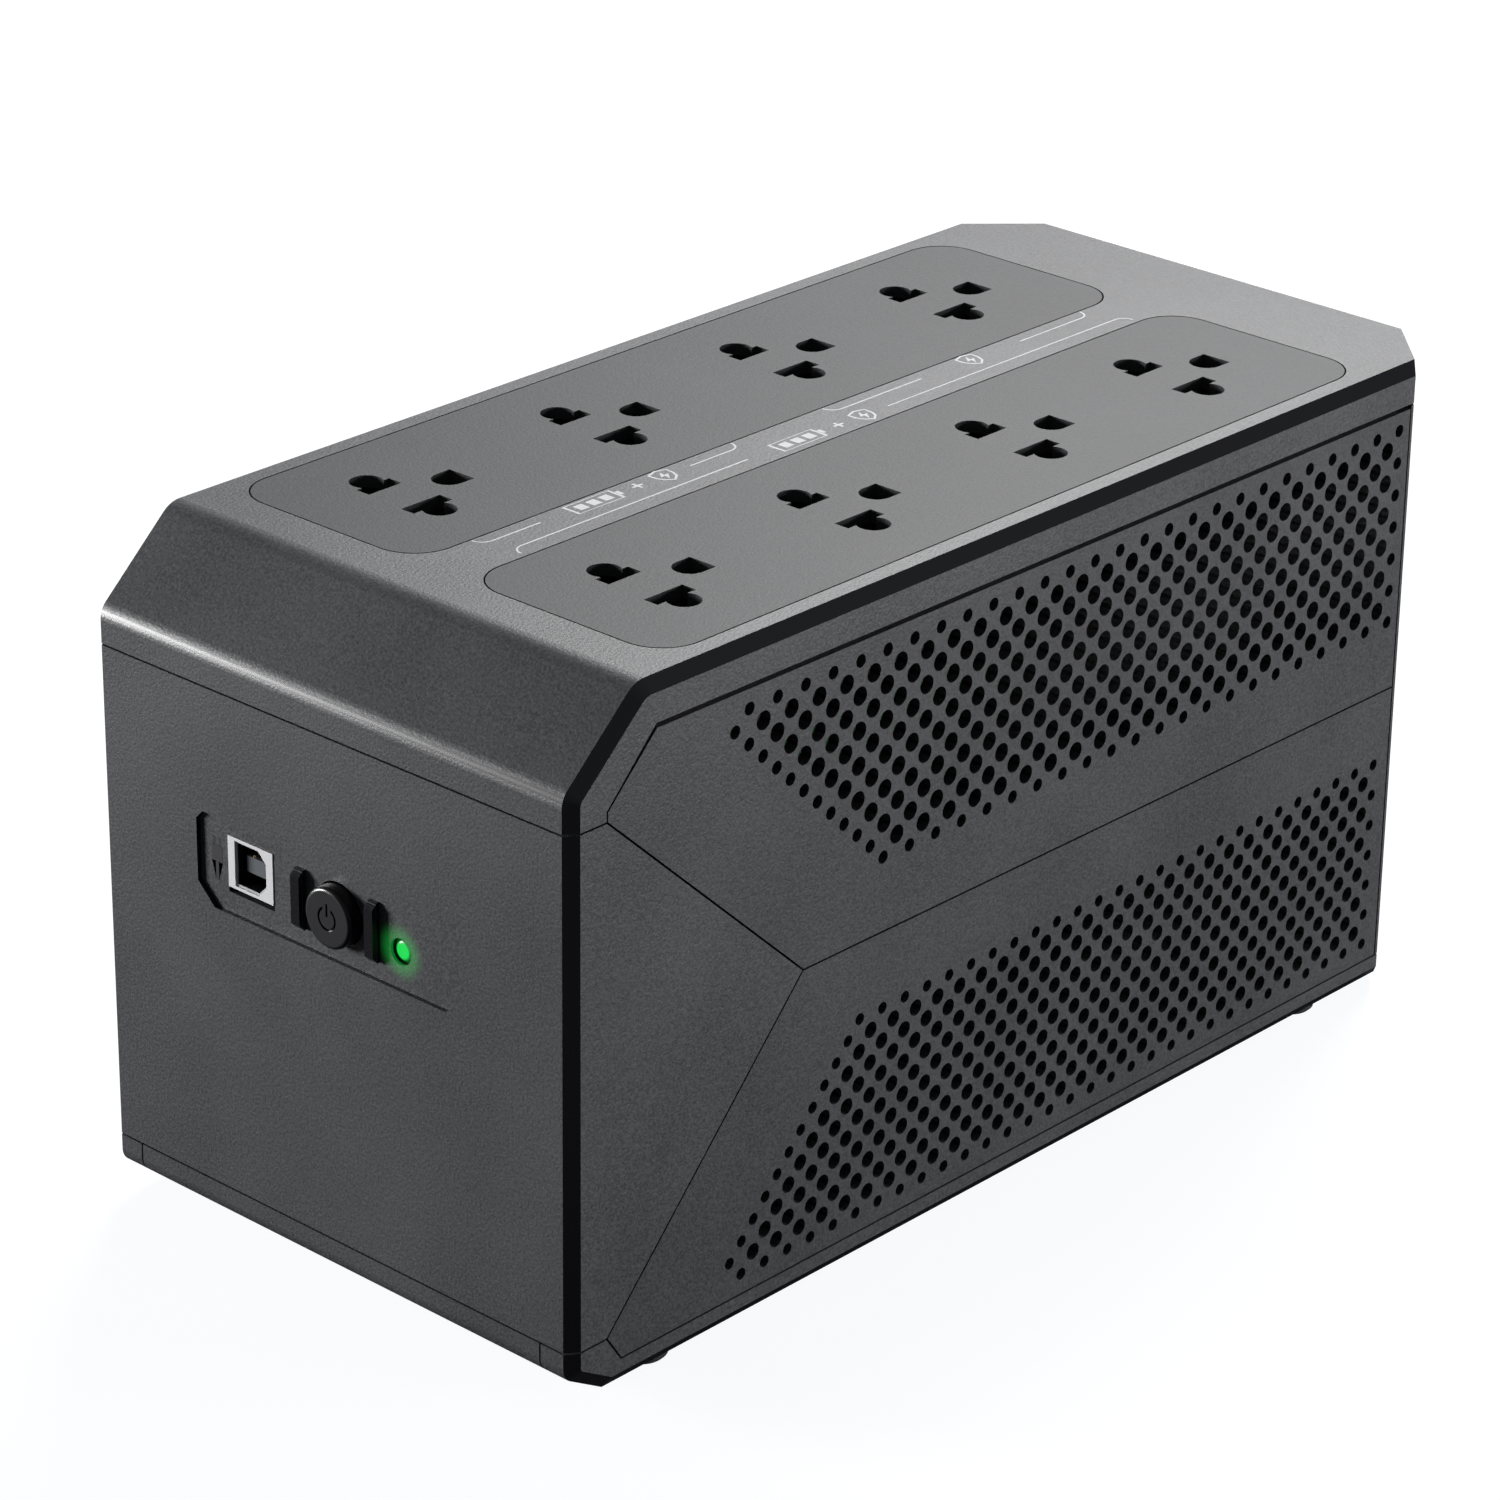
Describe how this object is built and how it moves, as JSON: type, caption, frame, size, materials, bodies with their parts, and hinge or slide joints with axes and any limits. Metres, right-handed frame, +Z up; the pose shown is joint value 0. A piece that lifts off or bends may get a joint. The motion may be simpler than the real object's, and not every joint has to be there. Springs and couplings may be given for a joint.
{
  "type": "uninterruptible power supply",
  "caption": "Desktop line-interactive uninterruptible power supply with two rows of universal outlets on top, perforated sides, a front control recess and a slide-off battery door.",
  "frame": {"origin": "middle of the footprint, on the plane that the rubber feet stand on", "axes": "+Z up, the control panel faces -Y, +X to the right of someone looking along +Y"},
  "size_m": [0.1226, 0.256, 0.1382],
  "materials": {
    "case_plastic": "matt, finely grained black ABS",
    "grille_plastic": "matt, finely grained black ABS",
    "outlet_plastic": "matt, finely grained black flame-retardant plastic",
    "inner_plastic": "smooth dark grey moulded plastic",
    "button_plastic": "satin black plastic",
    "natural_plastic": "natural nylon",
    "foot_rubber": "matt soft rubber",
    "foam": "dense black foam",
    "steel": "zinc-plated, satin",
    "screw_steel": "black zinc-plated",
    "spring_steel": "bright spring wire",
    "contact_brass": "bright stamped brass",
    "connector_shell": "bright tin-plated sheet",
    "core_steel": "varnished silicon-steel laminations",
    "copper_winding": "enamelled copper wire",
    "board_laminate": "green solder-masked glass-epoxy laminate",
    "heat_sink_aluminium": "black anodised extrusion",
    "component_black": "moulded epoxy",
    "relay_case": "blue glossy plastic",
    "capacitor_sleeve": "shrunk plastic sleeve",
    "terminal_green": "green glossy plastic",
    "lead_black": "soft PVC insulation",
    "lead_red": "soft PVC insulation",
    "led_epoxy": "clear green epoxy",
    "printing_ink": "pale grey pad-printing ink",
    "led_lens": "frosted clear plastic"
  },
  "bodies": {
    "case": {"base_tray": "case_plastic", "front_panel": "case_plastic", "top_cover": "case_plastic", "rear_panel": "case_plastic", "left_lower_grille": "grille_plastic", "left_upper_grille": "grille_plastic", "right_lower_grille": "grille_plastic", "right_upper_grille": "grille_plastic", "outlet_panel_left": "outlet_plastic", "outlet_panel_right": "outlet_plastic", "socket_carrier_left": "inner_plastic", "socket_carrier_right": "inner_plastic", "line_bus_left": "contact_brass", "line_bus_right": "contact_brass", "neutral_bus_left": "contact_brass", "neutral_bus_right": "contact_brass", "earth_bus_left": "contact_brass", "earth_bus_right": "contact_brass", "rubber_feet": "foot_rubber", "cover_screws": "screw_steel", "fan_screws": "screw_steel", "control_board_screws": "steel", "board_screws": "steel", "transformer_screws": "steel", "battery": "inner_plastic", "battery_terminals": "contact_brass", "battery_pads": "foam", "battery_connectors": "natural_plastic", "battery_lead_black": "lead_black", "battery_lead_red": "lead_red", "switch_body": "component_black", "button_spring": "spring_steel", "usb_shell": "connector_shell", "usb_insulator": "component_black", "usb_contacts": "contact_brass", "led_lens": "led_lens", "led": "led_epoxy", "control_board": "board_laminate", "main_board": "board_laminate", "board_spacers": "natural_plastic", "board_terminals": "terminal_green", "relays": "relay_case", "capacitors": "capacitor_sleeve", "heat_sink": "heat_sink_aluminium", "power_transistors": "component_black", "choke": "copper_winding", "transformer_core": "core_steel", "transformer_bobbin": "natural_plastic", "transformer_winding": "copper_winding", "transformer_bracket": "steel", "fan_frame": "inner_plastic", "mains_inlet": "component_black", "inlet_pins": "contact_brass", "breaker_body": "component_black"},
    "door": {"battery_door": "case_plastic"},
    "button": {"power_button": "button_plastic"},
    "plunger": {"switch_plunger": "component_black"},
    "breaker": {"breaker_button": "button_plastic"},
    "rotor": {"fan_rotor": "component_black"}
  },
  "joints": [
    {"name": "battery_door_slide", "type": "slide", "parent": "case", "child": "door", "axis": [0, -1, 0], "range_m": [0, 0.19]},
    {"name": "power_button_press", "type": "slide", "parent": "case", "child": "button", "axis": [0, 1, 0], "range_m": [0, 0.0015], "stiffness_N_per_m": 600, "springref_m": -0.001, "deforming": ["button_spring"]},
    {"name": "switch_plunger_press", "type": "slide", "parent": "case", "child": "plunger", "axis": [0, 1, 0], "range_m": [0, 0.0015]},
    {"name": "breaker_pop", "type": "slide", "parent": "case", "child": "breaker", "axis": [0, 1, 0], "range_m": [0, 0.004]},
    {"name": "fan_spin", "type": "hinge", "parent": "case", "child": "rotor", "pos_m": [0.02, 0.118, 0.095], "axis": [0, 1, 0], "continuous": true}
  ],
  "couplings": [
    {"joint": "switch_plunger_press", "follows": "power_button_press", "ratio": 1}
  ]
}
